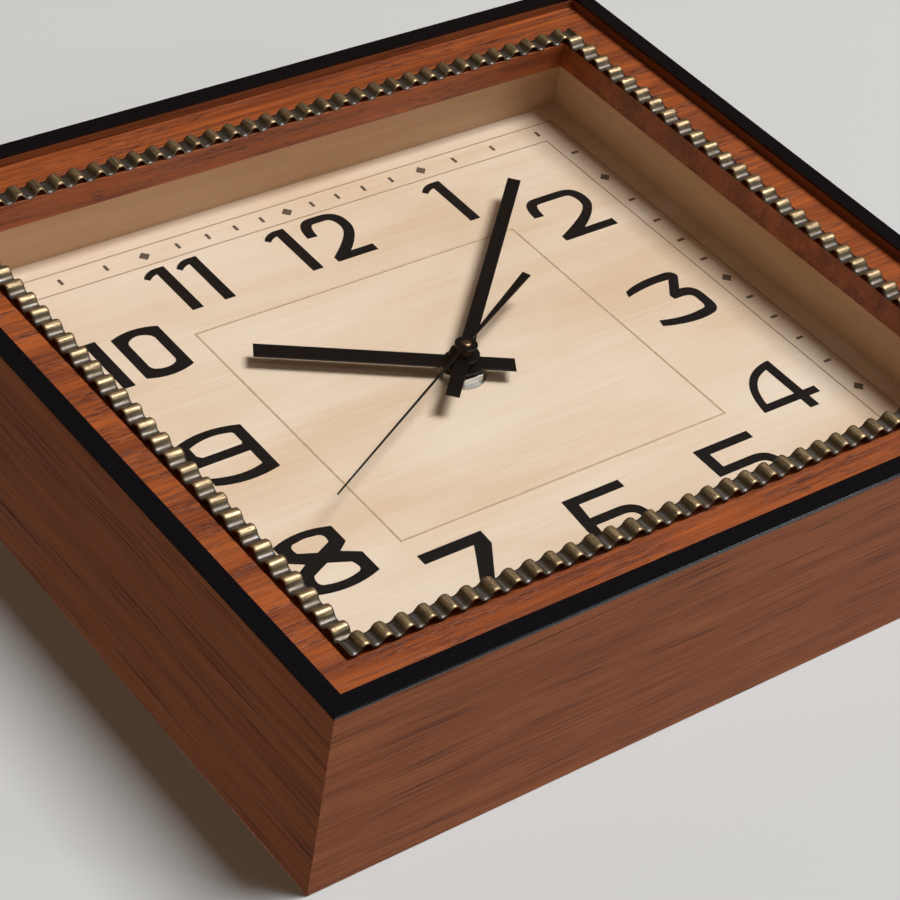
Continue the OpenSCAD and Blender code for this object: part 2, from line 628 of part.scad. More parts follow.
// Motion wheel: wheel meshes with the cannon pinion, its pinion with the hour wheel
motion_hole_r = post_r + shaft_gap;
module motion_wheel() color([0.95, 0.93, 0.85]) {
    disc(motion_at, motion_y, wheel_t, motion_turn, motion_hole_r) wheel(module_a, motion_n);
    disc(motion_at, hour_wheel_y - 0.2, motion_y - hour_wheel_y + 0.2, 0, motion_hole_r)
        pinion(module_a, pinion_n);
}
hour_pipe_r = bush_hole_r - shaft_gap;
module hour_wheel() color([0.95, 0.93, 0.85]) {
    disc([0, 0], hour_wheel_y, wheel_t, hour_turn, pipe_r + shaft_gap) wheel(module_a, hour_n);
    tube(dial_y - hour_up - hand_t - 0.3, hour_pipe_r, pipe_r + shaft_gap,
        hour_wheel_y - dial_y + hour_up + hand_t + 0.4);
}

// Setting knob: pinion inside, fluted knob outside the cover
knob_r = 6;
knob_t = 1.8;
module setting_knob() color([0.2, 0.2, 0.21]) {
    disc(knob_at, motion_y - 0.2, wheel_t + 0.4, knob_turn) pinion(module_a, knob_n);
    rod(knob_at, motion_y, cover_y + cover_t + 0.4, 2);
    on_dial(cover_y + cover_t + 0.3) translate([knob_at[0], knob_at[1], 0])
        linear_extrude(knob_t) difference() {
            circle(r = knob_r);
            for (a = [0:20:359]) rotate(a) translate([knob_r + 0.2, 0]) circle(r = 0.6);
        }
}

// ---- Hands ----

// Baton with square ends, turned clockwise from twelve, with its boss
module baton(up, w, len, tail, a, boss, hole) slab(dial_y - up - hand_t, hand_t) difference() {
    rotate(-a) union() {
        box(-w / 2, -tail, w / 2, len);
        circle(r = boss);
    }
    circle(r = hole);
}
module boss_tube(up, deep, outer, hole) tube(dial_y - up - hand_t, outer, hole, deep);

module hour_hand() color([0.07, 0.07, 0.075]) {
    baton(hour_up, hour_w, hour_len, hour_tail, hour_angle, hour_boss_r, hour_pipe_r);
    boss_tube(hour_up, 1.2, hour_boss_r - 1.4, hour_pipe_r);
}
module minute_hand() color([0.07, 0.07, 0.075]) {
    baton(minute_up, minute_w, minute_len, minute_tail, minute_angle, minute_boss_r, pipe_r);
    boss_tube(minute_up, 1.6, minute_boss_r - 1.2, pipe_r);
}
module second_hand() color([0.07, 0.07, 0.075]) {
    slab(dial_y - second_up - hand_t, hand_t) difference() {
        rotate(-second_angle) union() {
            polygon([[-needle_w / 2, 0], [-needle_w * 0.3, second_len],
                [needle_w * 0.3, second_len], [needle_w / 2, 0],
                [counter_w / 2, -second_tail], [-counter_w / 2, -second_tail]]);
            circle(r = second_boss_r);
        }
        circle(r = arbor_r);
    }
    tube(dial_y - second_up - hand_t, 1.3, arbor_r, 2.2);
}

// ---- Battery ----

terminal_x = battery_len / 2 - terminal_len;
module battery() color([0.25, 0.35, 0.3]) translate([0, battery_y, dial_z + bay_z])
    rotate([0, 90, 0]) rotate_extrude() polygon([[0, -battery_len / 2],
        [battery_r - 0.8, -battery_len / 2], [battery_r, 0.6 - battery_len / 2],
        [battery_r, terminal_x - 0.6], [battery_r - 0.6, terminal_x], [terminal_r, terminal_x],
        [terminal_r, battery_len / 2], [0, battery_len / 2]]);
// Contacts: folded strips between the battery's ends and the side walls
contact_t = 0.3;
contact_gap = 0.1;
contact_x = battery_len / 2 + contact_gap;
contact_wall = move_w / 2 - wall_t;
module contact(w) color([0.82, 0.8, 0.72]) translate([0, battery_y, dial_z + bay_z - w / 2])
    linear_extrude(w) polygon([[contact_x, -4], [contact_wall, -4], [contact_wall, 5],
        [contact_wall - contact_t, 5], [contact_wall - contact_t, -4 + contact_t],
        [contact_x + contact_t, -4 + contact_t], [contact_x + contact_t, 3.5], [contact_x, 3.5]]);
module positive_contact() contact(8);
module negative_contact() mirror([1, 0, 0]) contact(9);

left_side_board();
right_side_board();
top_board();
bottom_board();
left_edging();
right_edging();
top_edging();
bottom_edging();
front_panel();
left_brass_ribbon();
right_brass_ribbon();
top_brass_ribbon();
bottom_brass_ribbon();
window_glass();
left_liner();
right_liner();
top_liner();
bottom_liner();
dial_board();
hour_numerals();
minute_track();
centre_rectangle();
corner_blocks();
back_board();
back_screws();
movement_case();
movement_cover();
rubber_gasket();
centre_bush();
centre_washer();
centre_nut();
train_bridge();
circuit_board();
quartz_crystal();
coil();
stator();
rotor();
fifth_wheel();
seconds_wheel();
third_wheel();
centre_wheel();
minute_pipe();
motion_wheel();
hour_wheel();
setting_knob();
hour_hand();
minute_hand();
second_hand();
battery();
positive_contact();
negative_contact();
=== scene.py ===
"""A wooden desk clock: veneered case with black edging, a corrugated brass ribbon round
its window, a pale dial with black baton hands, and a quartz movement behind."""
import json
import math

import bmesh
import bpy
from mathutils import Matrix, Vector


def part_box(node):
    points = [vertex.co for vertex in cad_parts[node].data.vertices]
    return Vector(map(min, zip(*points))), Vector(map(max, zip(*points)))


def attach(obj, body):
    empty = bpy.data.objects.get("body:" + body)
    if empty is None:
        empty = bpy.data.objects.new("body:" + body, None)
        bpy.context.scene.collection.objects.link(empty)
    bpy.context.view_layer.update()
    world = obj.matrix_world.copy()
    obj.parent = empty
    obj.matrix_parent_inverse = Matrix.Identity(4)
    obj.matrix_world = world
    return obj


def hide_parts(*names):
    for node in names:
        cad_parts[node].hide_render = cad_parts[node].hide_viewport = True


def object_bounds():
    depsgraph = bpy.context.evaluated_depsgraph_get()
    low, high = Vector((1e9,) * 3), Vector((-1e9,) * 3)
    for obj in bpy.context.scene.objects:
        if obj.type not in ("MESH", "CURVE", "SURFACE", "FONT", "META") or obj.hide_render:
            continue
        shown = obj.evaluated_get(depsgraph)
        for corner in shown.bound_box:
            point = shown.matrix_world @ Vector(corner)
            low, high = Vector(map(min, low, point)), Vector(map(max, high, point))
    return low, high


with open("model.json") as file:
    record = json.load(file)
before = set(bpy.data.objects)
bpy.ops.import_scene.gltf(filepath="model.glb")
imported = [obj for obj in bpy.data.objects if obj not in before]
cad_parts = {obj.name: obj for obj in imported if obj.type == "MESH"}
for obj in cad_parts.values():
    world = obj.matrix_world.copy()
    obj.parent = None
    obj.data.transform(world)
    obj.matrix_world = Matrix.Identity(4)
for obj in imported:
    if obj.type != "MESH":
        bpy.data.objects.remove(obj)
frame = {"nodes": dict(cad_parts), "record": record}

CAD_BOX = [list(corner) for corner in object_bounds()]
MM = 0.001
ALONG_X, ALONG_Y, ALONG_Z = 0, 1, 2

# ---- Places taken from the frame ----

CASE_LOW, CASE_HIGH = (Vector(corner) for corner in CAD_BOX)
DIAL_HEIGHT = (CASE_LOW.z + CASE_HIGH.z) / 2
PANEL_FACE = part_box("front_panel")[0].y
RIBBON_RISE = PANEL_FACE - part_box("bottom_brass_ribbon")[0].y


def middle(node):
    """Middle of a CAD node's box."""
    low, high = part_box(node)
    return (low + high) / 2


def half_size(node):
    """Half the size of a CAD node's box."""
    low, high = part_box(node)
    return (high - low) / 2


# ---- Camera ----

# Solved so that the clock's edges, corners and minute marks fall where the photograph has them
CAMERA_PLACE = Vector((-0.416925, -0.467510, -0.330408))
CAMERA_TARGET = Vector((-0.022217, -0.000200, 0.087549))
CAMERA_UP = Vector((0.300104, -0.764152, 0.570973))
CAMERA_LENS = 113.3
FILM_WIDTH = 36.0


def place_camera():
    """Stands the camera below and left of the clock, looking up across the dial."""
    data = bpy.data.cameras.new("camera")
    data.lens = CAMERA_LENS
    data.sensor_width = FILM_WIDTH
    camera = bpy.data.objects.new("camera", data)
    bpy.context.collection.objects.link(camera)
    ahead = (CAMERA_TARGET - CAMERA_PLACE).normalized()
    right = ahead.cross(CAMERA_UP).normalized()
    up = right.cross(ahead)
    turn = Matrix((right, up, -ahead)).transposed()
    camera.matrix_world = Matrix.Translation(CAMERA_PLACE) @ turn.to_4x4()
    bpy.context.scene.camera = camera


place_camera()

# ---- Building materials from nodes ----


def feed(tree, socket, value):
    """Gives an input its plain value, or links it to the output that feeds it."""
    if isinstance(value, bpy.types.NodeSocket):
        tree.links.new(value, socket)
    else:
        socket.default_value = value


def add(tree, kind, inputs=(), **settings):
    """Adds a node. Each input is a plain value or the output that feeds it."""
    node = tree.nodes.new(kind)
    for name, value in settings.items():
        setattr(node, name, value)
    for name, value in dict(inputs).items():
        feed(tree, node.inputs[name], value)
    return node


def start_material(name):
    """An empty node material."""
    material = bpy.data.materials.new(name)
    material.use_nodes = True
    material.node_tree.nodes.clear()
    return material, material.node_tree


def end_material(tree, shader):
    """Joins a finished shader to the surface."""
    add(tree, "ShaderNodeOutputMaterial", {"Surface": shader})


def object_place(tree):
    """Where a point lies on the object, in metres."""
    return add(tree, "ShaderNodeTexCoord").outputs["Object"]


def object_axis(tree, axis):
    """Where a point lies along one axis of the object, in metres."""
    return add(tree, "ShaderNodeSeparateXYZ", {"Vector": object_place(tree)}).outputs[axis]


def stretched(tree, scale):
    """Object coordinates multiplied, for patterns longer one way than the other."""
    return add(tree, "ShaderNodeMapping", {"Vector": object_place(tree), "Scale": scale}).outputs[0]


def along(axis, lengthwise, across):
    """Scale of a pattern that runs lengthwise along one axis."""
    return tuple(lengthwise if i == axis else across for i in range(3))


def noise(tree, vector, detail, roughness=0.5, distortion=0.0):
    """Cloudy pattern from 0 to 1."""
    return add(tree, "ShaderNodeTexNoise", {"Vector": vector, "Scale": 1.0, "Detail": detail,
        "Roughness": roughness, "Distortion": distortion}).outputs[0]


def spread(tree, value, low, high, to_low=0.0, to_high=1.0):
    """Moves the range low..high to to_low..to_high and cuts off what lies outside."""
    return add(tree, "ShaderNodeMapRange", {"Value": value, "From Min": low, "From Max": high,
        "To Min": to_low, "To Max": to_high}).outputs[0]


def calculate(tree, operation, first, second=0.0):
    """One sum on two values."""
    return add(tree, "ShaderNodeMath", {0: first, 1: second}, operation=operation).outputs[0]


def blend(tree, amount, first, second):
    """Mixes two colours; the colour sockets of a mix node are its seventh and eighth."""
    return add(tree, "ShaderNodeMix", {0: amount, 6: first, 7: second}, data_type="RGBA").outputs[2]


def weigh(tree, first, second, share):
    """Mixes two patterns, with the first one's share given."""
    return calculate(tree, "ADD", calculate(tree, "MULTIPLY", first, share),
                     calculate(tree, "MULTIPLY", second, 1.0 - share))


def paint(red, green, blue):
    """A colour given as a screen shows it, 0 to 255, in linear light."""
    def linear(step):
        level = step / 255
        return level / 12.92 if level <= 0.04045 else ((level + 0.055) / 1.055) ** 2.4
    return (linear(red), linear(green), linear(blue), 1.0)


def relief(tree, height, depth):
    """Turns a height pattern into fine relief, depth in metres."""
    bump = add(tree, "ShaderNodeBump", {"Height": height, "Distance": depth, "Strength": 1.0})
    return bump.outputs[0]


def dimmed(colour, share):
    """A colour with its light cut to a share."""
    return tuple(part * share for part in colour[:3]) + (1.0,)


def surface(tree, inputs):
    """The usual shader with the given inputs, joined to the surface."""
    end_material(tree, add(tree, "ShaderNodeBsdfPrincipled", inputs).outputs[0])


# ---- Finishes ----

TRACK_EDGE_TO_MARKS = 4.3 * MM
CLEAR_OF_MARKS = 3.2 * MM
COPPER_BAND = 0.28


def veneer(name, axis, light, dark, pore, gloss, shine, depth, pore_length=190, pore_fineness=4400):
    """Open-grained veneer under satin lacquer: bands, streaks and dark pores along one axis."""
    material, tree = start_material(name)
    bands = noise(tree, stretched(tree, along(axis, 9, 150)), detail=4, distortion=0.8)
    streaks = noise(tree, stretched(tree, along(axis, 30, 1150)), detail=4, roughness=0.65)
    pores = noise(tree, stretched(tree, along(axis, pore_length, pore_fineness)),
                  detail=1, roughness=0.4)
    fleck = noise(tree, stretched(tree, along(axis, 26, 260)), detail=2)
    wood = blend(tree, spread(tree, weigh(tree, bands, streaks, 0.5), 0.38, 0.62), dark, light)
    slit = calculate(tree, "MULTIPLY", spread(tree, pores, 0.52, 0.62),
                     spread(tree, fleck, 0.38, 0.60))
    colour = blend(tree, calculate(tree, "MULTIPLY", slit, 0.85), wood, pore)
    height = calculate(tree, "SUBTRACT", calculate(tree, "MULTIPLY", streaks, 0.5), slit)
    surface(tree, {"Base Color": colour,
        "Roughness": spread(tree, streaks, 0.3, 0.7, gloss + 0.08, gloss - 0.05),
        "Normal": relief(tree, height, depth), "Specular IOR Level": shine})
    return material


def satin_black(name, tone, gloss, grain_size, grain_depth):
    """Black lacquer with a faint orange-peel grain and dust-fine lighter specks."""
    material, tree = start_material(name)
    grain = noise(tree, stretched(tree, (grain_size,) * 3), detail=3, roughness=0.6)
    specks = noise(tree, stretched(tree, (5200,) * 3), detail=1)
    colour = blend(tree, spread(tree, specks, 0.62, 0.8, 0.0, 0.3), tone, paint(40, 43, 48))
    surface(tree, {"Base Color": colour,
        "Roughness": spread(tree, grain, 0.3, 0.7, gloss - 0.06, gloss + 0.08),
        "Normal": relief(tree, grain, grain_depth), "Specular IOR Level": 0.32})
    return material


def aged_brass(name, axis):
    """Antiqued sheet brass: golden crests, olive-brown flanks and silvery grey troughs."""
    material, tree = start_material(name)
    rise = spread(tree, object_axis(tree, "Y"), PANEL_FACE, PANEL_FACE - RIBBON_RISE)
    brushed = noise(tree, stretched(tree, along(axis, 3000, 150)), detail=3, roughness=0.65)
    clouds = noise(tree, stretched(tree, (380,) * 3), detail=4, roughness=0.65)
    spots = noise(tree, stretched(tree, (1900,) * 3), detail=2)
    patchy = calculate(tree, "MULTIPLY", calculate(tree, "SUBTRACT", clouds, 0.5), 0.55)
    worn = calculate(tree, "ADD", rise, patchy)
    lower = blend(tree, spread(tree, worn, 0.05, 0.45), BRASS_TROUGH, BRASS_FLANK)
    metal = blend(tree, spread(tree, worn, 0.55, 0.95), lower, BRASS_CREST)
    streaked = blend(tree, spread(tree, brushed, 0.38, 0.60, 0.9, 0.0), metal, paint(88, 78, 62))
    colour = blend(tree, spread(tree, spots, 0.60, 0.70, 0.0, 0.6), streaked, paint(58, 48, 34))
    surface(tree, {"Base Color": colour, "Metallic": 1.0,
        "Roughness": spread(tree, brushed, 0.25, 0.75, 0.56, 0.42),
        "Normal": relief(tree, brushed, 0.010 * MM)})
    return material


def turned_metal(name, tone, shade, gloss):
    """Plain machined metal with faint tool marks and slight tarnish."""
    material, tree = start_material(name)
    marks = noise(tree, stretched(tree, along(ALONG_Y, 5400, 900)), detail=3, roughness=0.6)
    tarnish = noise(tree, stretched(tree, (160,) * 3), detail=4)
    colour = blend(tree, spread(tree, tarnish, 0.42, 0.72), tone, shade)
    surface(tree, {"Base Color": colour, "Metallic": 1.0,
        "Roughness": spread(tree, marks, 0.3, 0.7, gloss, gloss + 0.14),
        "Normal": relief(tree, marks, 0.004 * MM)})
    return material


def moulded(name, tone, gloss, grain_size=1400, depth=0.04 * MM, shift=0.12):
    """Moulded plastic or rubber with a fine spark-eroded grain."""
    material, tree = start_material(name)
    grain = noise(tree, stretched(tree, (grain_size,) * 3), detail=3, roughness=0.55)
    clouds = noise(tree, stretched(tree, (70,) * 3), detail=3)
    colour = blend(tree, spread(tree, clouds, 0.35, 0.65), tone, dimmed(tone, 1 - shift))
    surface(tree, {"Base Color": colour,
        "Roughness": spread(tree, grain, 0.3, 0.7, gloss - 0.06, gloss + 0.08),
        "Normal": relief(tree, grain, depth)})
    return material


def pale_wood(name, axis, light, dark):
    """Pale close-grained wood: soft clouds, faint grain lines and tiny flecks along one axis."""
    material, tree = start_material(name)
    clouds = noise(tree, stretched(tree, along(axis, 9, 38)), detail=3, distortion=0.4)
    lines = noise(tree, stretched(tree, along(axis, 20, 900)), detail=4, roughness=0.6)
    flecks = noise(tree, stretched(tree, along(axis, 240, 2600)), detail=1)
    wood = blend(tree, spread(tree, weigh(tree, clouds, lines, 0.75), 0.34, 0.66), dark, light)
    colour = blend(tree, spread(tree, flecks, 0.66, 0.78, 0.0, 0.22), wood, dark)
    surface(tree, {"Base Color": colour, "Roughness": spread(tree, lines, 0.3, 0.7, 0.66, 0.54),
        "Normal": relief(tree, lines, 0.02 * MM), "Specular IOR Level": 0.3})
    return material


def printed_ink(name, tone):
    """Screen-printed ink with a slightly uneven film."""
    material, tree = start_material(name)
    film = noise(tree, stretched(tree, (1200,) * 3), detail=3)
    thin = tuple(min(1.0, c * 1.35 + 0.004) for c in tone[:3]) + (1.0,)
    surface(tree, {"Base Color": blend(tree, spread(tree, film, 0.4, 0.7), tone, thin),
        "Roughness": spread(tree, film, 0.3, 0.7, 0.50, 0.63),
        "Normal": relief(tree, film, 0.01 * MM), "Specular IOR Level": 0.12})
    return material


def track_ink():
    """Ink of the minute track: dark marks between two lines that are printed thinner."""
    material, tree = start_material("track_ink")
    reach = half_size("minute_track")

    def inside(axis, centre, half):
        """How far in from one pair of the track's outer edges."""
        off_centre = calculate(tree, "SUBTRACT", object_axis(tree, axis), centre)
        return calculate(tree, "SUBTRACT", half, calculate(tree, "ABSOLUTE", off_centre))

    from_edge = calculate(tree, "MINIMUM", inside("X", 0.0, reach.x),
                          inside("Z", DIAL_HEIGHT, reach.z))
    from_marks = calculate(tree, "SUBTRACT", from_edge, TRACK_EDGE_TO_MARKS)
    off_marks = calculate(tree, "ABSOLUTE", from_marks)
    on_line = calculate(tree, "GREATER_THAN", off_marks, CLEAR_OF_MARKS)
    film = noise(tree, stretched(tree, (1200,) * 3), detail=3)
    mark = blend(tree, spread(tree, film, 0.4, 0.7), paint(92, 78, 67), paint(108, 93, 80))
    surface(tree, {"Base Color": blend(tree, on_line, mark, paint(176, 154, 130)),
        "Roughness": spread(tree, film, 0.3, 0.7, 0.5, 0.62), "Specular IOR Level": 0.2})
    return material


def clear_glass():
    """Thin clear pane: lets light straight through and mirrors a little at a slant."""
    material, tree = start_material("window_glass")
    smears = noise(tree, stretched(tree, (28,) * 3), detail=3)
    through = add(tree, "ShaderNodeBsdfTransparent", {"Color": (0.985, 0.99, 0.985, 1)}).outputs[0]
    polish = spread(tree, smears, 0.3, 0.8, 0.01, 0.05)
    mirror = add(tree, "ShaderNodeBsdfGlossy", {"Roughness": polish}).outputs[0]
    slant = add(tree, "ShaderNodeLayerWeight", {"Blend": 0.5}).outputs["Facing"]
    share = spread(tree, calculate(tree, "POWER", slant, 5.0), 0.0, 1.0, 0.02, 0.9)
    pane = add(tree, "ShaderNodeMixShader", {0: share, 1: through, 2: mirror})
    end_material(tree, pane.outputs[0])
    return material


def wound_wire():
    """Enamelled copper wire wound round the coil, turn beside turn along X, with painted light on
    each turn's crown and painted shade in the grooves between turns.
    """
    material, tree = start_material("copper_wire")
    turns = add(tree, "ShaderNodeTexWave", {"Vector": stretched(tree, (1, 0, 0)), "Scale": 1400.0,
        "Distortion": 0.4, "Detail": 1.0}, wave_type="BANDS", bands_direction="X").outputs["Fac"]
    # Painted light and shade: the copper is painted lighter on each turn's crown and darker in the
    # grooves between turns.
    colour = blend(tree, turns, paint(96, 44, 20), paint(188, 104, 52))
    surface(tree, {"Base Color": colour, "Metallic": 0.85, "Roughness": 0.34,
        "Normal": relief(tree, turns, 0.06 * MM)})
    return material


def battery_jacket():
    """Shrunk plastic jacket: slate green body with a copper-coloured band at the plus end."""
    material, tree = start_material("battery_jacket")
    low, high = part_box("battery")
    edge = high.x - COPPER_BAND * (high.x - low.x)
    ripple = noise(tree, stretched(tree, along(ALONG_X, 90, 400)), detail=3)
    band = calculate(tree, "GREATER_THAN", object_axis(tree, "X"), edge)
    colour = blend(tree, band, paint(52, 78, 74), paint(176, 120, 70))
    shaded = blend(tree, spread(tree, ripple, 0.35, 0.7, 0.0, 0.3), colour, paint(36, 44, 44))
    surface(tree, {"Base Color": shaded, "Metallic": 0.35,
        "Roughness": spread(tree, ripple, 0.3, 0.7, 0.24, 0.36),
        "Normal": relief(tree, ripple, 0.05 * MM), "Coat Weight": 0.4, "Coat Roughness": 0.12})
    return material


def raw_board():
    """Unfinished hardboard-backed plywood with coarse grain and fibres."""
    material, tree = start_material("back_wood")
    bands = noise(tree, stretched(tree, (6, 40, 90)), detail=3, distortion=0.5)
    fibres = noise(tree, stretched(tree, (40, 900, 1700)), detail=3, roughness=0.7)
    tone = spread(tree, weigh(tree, bands, fibres, 0.4), 0.32, 0.68)
    colour = blend(tree, tone, paint(158, 120, 80), paint(196, 160, 116))
    surface(tree, {"Base Color": colour, "Roughness": spread(tree, fibres, 0.3, 0.7, 0.62, 0.8),
        "Normal": relief(tree, fibres, 0.08 * MM)})
    return material


BRASS_TROUGH = paint(110, 113, 120)
BRASS_FLANK = paint(116, 106, 86)
BRASS_CREST = paint(190, 166, 130)
SIDE_TONES = dict(light=paint(148, 87, 52), dark=paint(126, 70, 41), pore=paint(72, 36, 22),
                  gloss=0.46, shine=0.1, depth=0.05 * MM, pore_length=26, pore_fineness=3300)
PANEL_TONES = dict(light=paint(168, 88, 40), dark=paint(110, 52, 25), pore=paint(68, 33, 24),
                   gloss=0.40, shine=0.3, depth=0.04 * MM)
LINER_TONES = dict(light=paint(216, 184, 152), dark=paint(196, 160, 126))

FINISH = {
    "side_level": veneer("side_veneer_level", ALONG_X, **SIDE_TONES),
    "side_upright": veneer("side_veneer_upright", ALONG_Z, **SIDE_TONES),
    "panel": veneer("panel_veneer", ALONG_X, **PANEL_TONES),
    "edging": satin_black("black_edging", paint(4, 7, 13), 0.22, 1500, 0.0015 * MM),
    "ribbon_level": aged_brass("aged_brass_level", ALONG_X),
    "ribbon_upright": aged_brass("aged_brass_upright", ALONG_Z),
    "glass": clear_glass(),
    "liner_level": pale_wood("liner_wood_level", ALONG_X, **LINER_TONES),
    "liner_upright": pale_wood("liner_wood_upright", ALONG_Z, **LINER_TONES),
    "dial": pale_wood("dial_veneer", ALONG_X, paint(237, 221, 205), paint(221, 193, 164)),
    "black_ink": printed_ink("black_ink", paint(14, 12, 12)),
    "track_ink": track_ink(),
    "fine_ink": printed_ink("fine_ink", paint(186, 164, 138)),
    "hands": satin_black("hand_black", paint(3, 5, 8), 0.32, 2600, 0.002 * MM),
    "back": raw_board(),
    "steel": turned_metal("bright_steel", paint(206, 204, 200), paint(170, 168, 164), 0.28),
    "brass": turned_metal("turned_brass", paint(212, 180, 112), paint(168, 136, 84), 0.26),
    "bronze": turned_metal("cap_bronze", paint(146, 124, 100), paint(104, 84, 66), 0.30),
    "movement": moulded("movement_plastic", paint(40, 41, 44), 0.52),
    "wheel": moulded("wheel_plastic", paint(236, 232, 216), 0.42, depth=0.015 * MM, shift=0.06),
    "rubber": moulded("rubber", paint(34, 34, 34), 0.72, grain_size=2200),
    "circuit": moulded("circuit_green", paint(34, 96, 58), 0.34, grain_size=700, depth=0.02 * MM),
    "copper": wound_wire(),
    "magnet": turned_metal("rotor_metal", paint(96, 96, 102), paint(70, 70, 76), 0.42),
    "jacket": battery_jacket(),
}

CARRIED_OVER = {
    "window_glass": "glass", "top_liner": "liner_level", "bottom_liner": "liner_level",
    "left_liner": "liner_upright", "right_liner": "liner_upright", "dial_board": "dial",
    "hour_numerals": "black_ink", "minute_track": "track_ink", "centre_rectangle": "fine_ink",
    "corner_blocks": "liner_level", "rubber_gasket": "rubber",
    "centre_bush": "brass", "centre_washer": "steel", "train_bridge": "wheel",
    "circuit_board": "circuit", "quartz_crystal": "steel", "coil": "copper", "stator": "steel",
    "rotor": "magnet", "fifth_wheel": "wheel", "seconds_wheel": "wheel", "third_wheel": "wheel",
    "centre_wheel": "wheel", "minute_pipe": "brass", "motion_wheel": "wheel",
    "hour_wheel": "movement", "positive_contact": "steel", "negative_contact": "steel",
}


def finish_carried_over():
    """Gives each CAD node that stays its finish."""
    for node, finish in CARRIED_OVER.items():
        for place in frame["nodes"][node].material_slots:
            place.material = FINISH[finish]


finish_carried_over()

# ---- Making pieces ----

# Greatest turns, in degrees, that are shaded smoothly: on cut pieces and on bent or turned ones
SMOOTH_TURN = 35
ROUND_TURN = 60
SAME_POINT = 0.001 * MM
SAME_PLANE = math.radians(0.5)
PARALLEL = 0.999


def body_of(node):
    """Name of the body that carries a CAD node."""
    bodies = frame["record"]["behaviour"]["bodies"]
    return next(body for body, nodes in bodies.items() if node in nodes)


def as_mesh(shape, name):
    """A mesh from a shape that is done with."""
    mesh = bpy.data.meshes.new(name)
    shape.to_mesh(mesh)
    shape.free()
    return mesh


def new_piece(name, mesh, finish, node, smooth_turn=SMOOTH_TURN):
    """Puts a finished mesh in the scene in place of a CAD node, shaded by its own shape alone."""
    carried = mesh.attributes.get("custom_normal")
    if carried:
        mesh.attributes.remove(carried)
    for face in mesh.polygons:
        face.use_smooth = True
    mesh.set_sharp_from_angle(angle=math.radians(smooth_turn))
    mesh.materials.clear()
    mesh.materials.append(FINISH[finish])
    piece = bpy.data.objects.new(name, mesh)
    bpy.context.collection.objects.link(piece)
    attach(piece, body_of(node))
    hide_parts(node)


def merged_copy(node):
    """A CAD node's shape as one clean mesh with flat faces joined."""
    shape = bmesh.new()
    shape.from_mesh(frame["nodes"][node].data)
    bmesh.ops.remove_doubles(shape, verts=shape.verts, dist=SAME_POINT)
    bmesh.ops.dissolve_limit(shape, angle_limit=SAME_PLANE, verts=shape.verts, edges=shape.edges)
    return shape


def round_arrises(shape, width, steps=3, chosen=lambda edge: True, smallest_turn=28):
    """Rounds the chosen arrises of a shape that turn more than the given degrees."""
    least = math.radians(smallest_turn)
    arrises = [edge for edge in shape.edges
               if len(edge.link_faces) == 2 and edge.calc_face_angle(0) > least and chosen(edge)]
    bmesh.ops.bevel(shape, geom=arrises, offset=width, segments=steps, profile=0.5,
                    affect="EDGES", clamp_overlap=True)


def keep_flats_flat(mesh):
    """Shades rounded arrises smoothly into the flat faces beside them, which stay flat."""
    round_each_point = [[] for _ in mesh.vertices]
    for face in mesh.polygons:
        for point in face.vertices:
            round_each_point[point].append((face.normal.copy(), face.area))
    least_alike = math.cos(math.radians(SMOOTH_TURN))
    leanings = []
    for face in mesh.polygons:
        for point in face.vertices:
            leaning = Vector()
            for normal, area in round_each_point[point]:
                if normal.dot(face.normal) > least_alike:
                    leaning += normal * area
            leanings.append(leaning.normalized())
    mesh.normals_split_custom_set(leanings)


def eased(node, name, finish, width, **how):
    """A piece with a CAD node's shape and its chosen sharp arrises rounded."""
    shape = merged_copy(node)
    round_arrises(shape, width, **how)
    mesh = as_mesh(shape, name)
    new_piece(name, mesh, finish, node)
    keep_flats_flat(mesh)


def runs_along(axis):
    """Test for edges parallel to an axis."""
    def test(edge):
        line = edge.verts[0].co - edge.verts[1].co
        return abs(line[axis]) > PARALLEL * line.length
    return test


def lathe(profile, steps):
    """A turned shape about the Y axis from (distance along Y, radius) points, ends on the axis."""
    shape = bmesh.new()
    points = [shape.verts.new((radius, y, 0)) for y, radius in profile]
    edges = [shape.edges.new(pair) for pair in zip(points, points[1:])]
    bmesh.ops.spin(shape, geom=points + edges, cent=(0, 0, 0), axis=(0, 1, 0),
                   angle=math.tau, steps=steps, use_duplicate=False)
    bmesh.ops.remove_doubles(shape, verts=shape.verts, dist=2 * SAME_POINT)
    bmesh.ops.recalc_face_normals(shape, faces=shape.faces)
    return shape


# ---- Case ----

BOARD_ARRIS = 0.25 * MM
EDGING_ARRIS = 0.2 * MM
PANEL_ARRIS = 0.15 * MM
ON_OUTLINE = 0.1 * MM
GROOVE_DEPTH = 1.0 * MM
GROOVE_UNDER = 1.7 * MM
GROOVE_BESIDE = 0.7 * MM


def case_boards():
    """Veneered boards; only their long back arrises are eased, so the mitres stay closed."""
    for node, axis in (("left_side_board", ALONG_Z), ("right_side_board", ALONG_Z),
                       ("top_board", ALONG_X), ("bottom_board", ALONG_X)):
        finish = "side_upright" if axis == ALONG_Z else "side_level"
        eased(node, node + "_veneered", finish, BOARD_ARRIS, chosen=runs_along(axis))


def on_outline(edge):
    """Test for edges on the outline of the case as seen from the front."""
    return all(CASE_HIGH.x - abs(end.co.x) < ON_OUTLINE
               or DIAL_HEIGHT - abs(end.co.z - DIAL_HEIGHT) < ON_OUTLINE for end in edge.verts)


def on_panel_face(edge):
    """Test for edges in the plane of the panel's face."""
    return all(abs(end.co.y - PANEL_FACE) < SAME_POINT for end in edge.verts)


def black_edging():
    """Lacquered strips: the arris where the bevel meets the side is softened."""
    for node, axis in (("left_edging", ALONG_Z), ("right_edging", ALONG_Z),
                       ("top_edging", ALONG_X), ("bottom_edging", ALONG_X)):
        lengthwise = runs_along(axis)
        eased(node, node + "_lacquered", "edging", EDGING_ARRIS,
              chosen=lambda edge: lengthwise(edge) and on_outline(edge))


